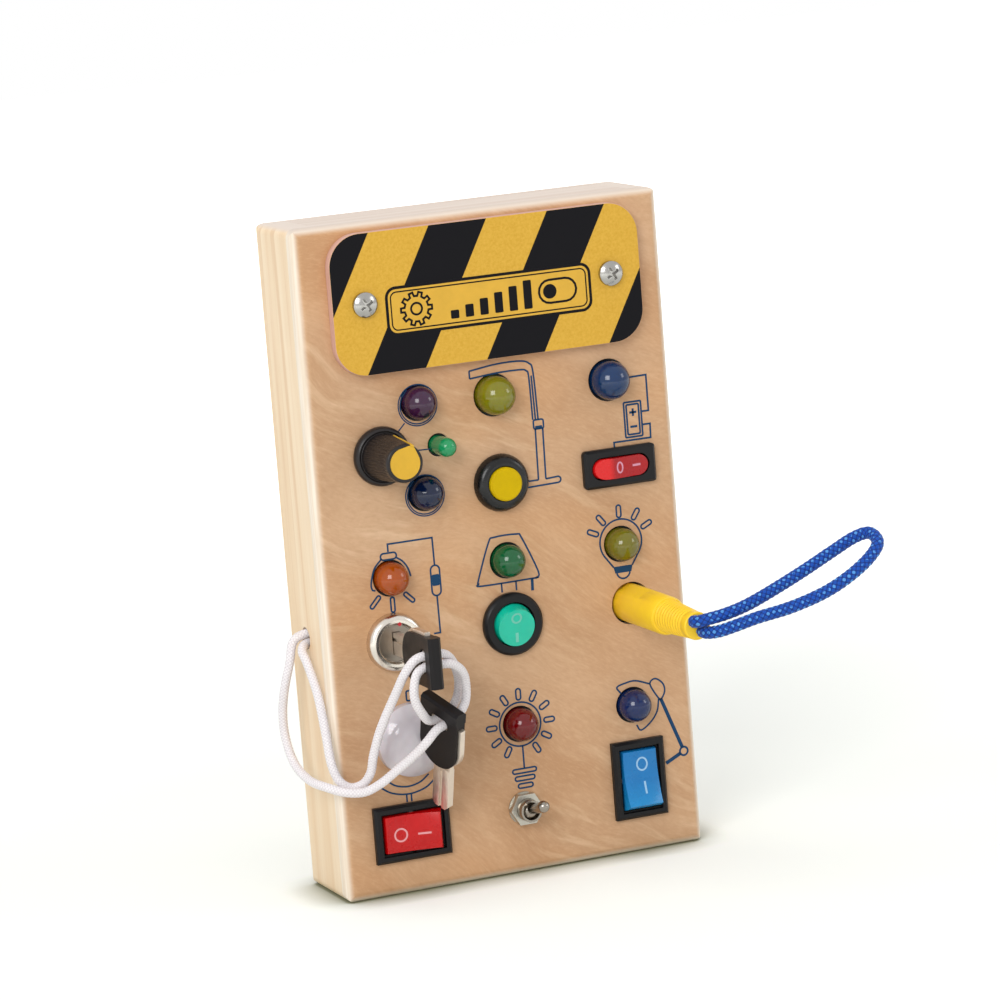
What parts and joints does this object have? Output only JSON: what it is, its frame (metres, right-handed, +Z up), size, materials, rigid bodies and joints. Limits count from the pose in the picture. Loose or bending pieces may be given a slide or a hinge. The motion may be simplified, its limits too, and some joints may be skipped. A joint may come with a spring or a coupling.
{
  "type": "busy board",
  "caption": "Upright wooden box for a small child with coloured lamps, a turning knob, a push button, rocker and toggle switches, a key lock with corded keys, and a plug on a cord loop.",
  "frame": {"origin": "middle of the lower face that the board stands on", "axes": "+Z up, +X to the right seen from the front, +Y from the front face into the board"},
  "size_m": [0.1422, 0.0865, 0.176],
  "materials": {
    "side_wood": "bare fine-sanded solid pine, grain along the rails",
    "front_wood": "sanded plywood with a faint curly grain",
    "back_wood": "thin sanded plywood",
    "plate": "satin printed sheet",
    "screw_steel": "bright zinc-plated steel",
    "purple_lamp": "clear tinted lens, glossy",
    "navy_lamp": "clear tinted lens, glossy",
    "street_lamp": "clear tinted lens, glossy",
    "blue_lamp": "clear tinted lens, glossy",
    "orange_lamp": "clear tinted lens, glossy",
    "green_lamp": "clear tinted lens, glossy",
    "red_lamp": "clear tinted lens, glossy",
    "white_lamp": "milky translucent dome, satin",
    "holder_black": "matt black moulding",
    "tinned_wire": "tinned",
    "control_steel": "stamped and plated steel",
    "nut_steel": "nickel-plated steel",
    "spring_steel": "bright spring wire",
    "yellow_cap": "satin yellow moulding",
    "bezel_black": "satin black moulding",
    "red_rocker": "glossy moulding with white marks",
    "green_rocker": "glossy translucent moulding with pale marks",
    "blue_rocker": "glossy moulding with white marks",
    "terminals": "tinned brass blades",
    "toggle_nickel": "bright nickel",
    "knob_black": "smooth dark moulding, glossy skirt",
    "pointer_yellow": "yellow inlay",
    "lock_nickel": "satin nickel on zinc",
    "key_metal": "nickel-silver key blank",
    "key_black": "dark brown-black moulding",
    "plug_yellow": "satin yellow moulding",
    "plug_metal": "nickel plated",
    "blue_cord": "braided cord with light flecks",
    "white_cord": "soft white braided cord",
    "cell_wrap": "plain wrapped cell",
    "circuit": "green fibreglass sheet"
  },
  "bodies": {
    "board": {"frame_left": "side_wood", "frame_right": "side_wood", "frame_top": "side_wood", "frame_bottom": "side_wood", "front_panel": "front_wood", "back_panel": "back_wood", "back_screws": "screw_steel", "striped_plate": "plate", "plate_screws": "screw_steel", "lamp_purple": "purple_lamp", "lamp_navy": "navy_lamp", "lamp_street": "street_lamp", "lamp_battery": "blue_lamp", "lamp_pendant": "orange_lamp", "lamp_table": "green_lamp", "lamp_bulb": "street_lamp", "lamp_sun": "red_lamp", "lamp_desk": "blue_lamp", "lamp_small_green": "green_lamp", "dome_lamp": "white_lamp", "lamp_holders": "holder_black", "lamp_leads": "tinned_wire", "pot_body": "control_steel", "panel_nuts": "nut_steel", "button_housing": "holder_black", "button_nut": "holder_black", "button_spring": "spring_steel", "mini_case": "bezel_black", "round_case": "bezel_black", "red_case": "bezel_black", "blue_case": "bezel_black", "switch_terminals": "terminals", "toggle_case": "toggle_nickel", "lock_barrel": "lock_nickel", "jack_socket": "holder_black", "key_cord": "white_cord", "cord_knot": "white_cord", "battery_box": "holder_black", "batteries": "cell_wrap", "battery_contacts": "plug_metal", "circuit_board": "circuit"},
    "knob": {"knob_shaft": "control_steel", "knob": "knob_black", "knob_pointer": "pointer_yellow"},
    "button": {"button_cap": "yellow_cap"},
    "mini_rocker": {"mini_paddle": "red_rocker"},
    "round_rocker": {"round_paddle": "green_rocker"},
    "red_rocker": {"red_paddle": "red_rocker"},
    "blue_rocker": {"blue_paddle": "blue_rocker"},
    "toggle": {"toggle_lever": "toggle_nickel"},
    "lock_core": {"lock_core": "lock_nickel"},
    "key": {"key_blade": "key_metal", "key_grip": "key_black"},
    "spare_key": {"spare_blade": "key_metal", "spare_grip": "key_black"},
    "plug": {"plug_shell": "plug_yellow", "plug_contacts": "plug_metal", "blue_loop": "blue_cord"},
    "battery_door": {"battery_door": "holder_black", "door_screw": "screw_steel"}
  },
  "joints": [
    {"name": "knob_turn", "type": "hinge", "parent": "board", "child": "knob", "pos_m": [-0.0319, -0.014, 0.1157], "axis": [0, -1, 0], "range_deg": [-122, 178]},
    {"name": "button_press", "type": "slide", "parent": "board", "child": "button", "axis": [0, 1, 0], "range_m": [0, 0.0015], "stiffness_N_per_m": 600, "springref_m": -0.001, "deforming": ["button_spring"]},
    {"name": "mini_rock", "type": "hinge", "parent": "board", "child": "mini_rocker", "pos_m": [0.0342, -0.014, 0.1041], "axis": [0, 0, 1], "range_deg": [-20, 0]},
    {"name": "round_rock", "type": "hinge", "parent": "board", "child": "round_rocker", "pos_m": [0.0007, -0.014, 0.0669], "axis": [1, 0, 0], "range_deg": [-20, 0]},
    {"name": "red_rock", "type": "hinge", "parent": "board", "child": "red_rocker", "pos_m": [-0.032, -0.014, 0.0168], "axis": [0, 0, 1], "range_deg": [0, 20]},
    {"name": "blue_rock", "type": "hinge", "parent": "board", "child": "blue_rocker", "pos_m": [0.0333, -0.014, 0.0201], "axis": [1, 0, 0], "range_deg": [0, 20]},
    {"name": "toggle_throw", "type": "hinge", "parent": "board", "child": "toggle", "pos_m": [0, -0.0175, 0.0175], "axis": [1, 0, 0], "range_deg": [0, 32]},
    {"name": "lock_turn", "type": "hinge", "parent": "board", "child": "lock_core", "pos_m": [-0.0323, -0.014, 0.0669], "axis": [0, -1, 0], "range_deg": [-90, 0], "deforming": ["key_cord"]},
    {"name": "key_pull", "type": "slide", "parent": "lock_core", "child": "key", "axis": [0, -1, 0], "range_m": [0, 0.022], "deforming": ["key_cord"]},
    {"name": "spare_swing", "type": "hinge", "parent": "board", "child": "spare_key", "pos_m": [-0.0274, -0.0312, 0.0484], "axis": [1, 0, 0], "range_deg": [-40, 4], "deforming": ["key_cord"]},
    {"name": "plug_pull", "type": "slide", "parent": "board", "child": "plug", "axis": [0, -1, 0], "range_m": [0, 0.018]},
    {"name": "door_off", "type": "slide", "parent": "board", "child": "battery_door", "axis": [0, 1, 0], "range_m": [0, 0.012]}
  ]
}
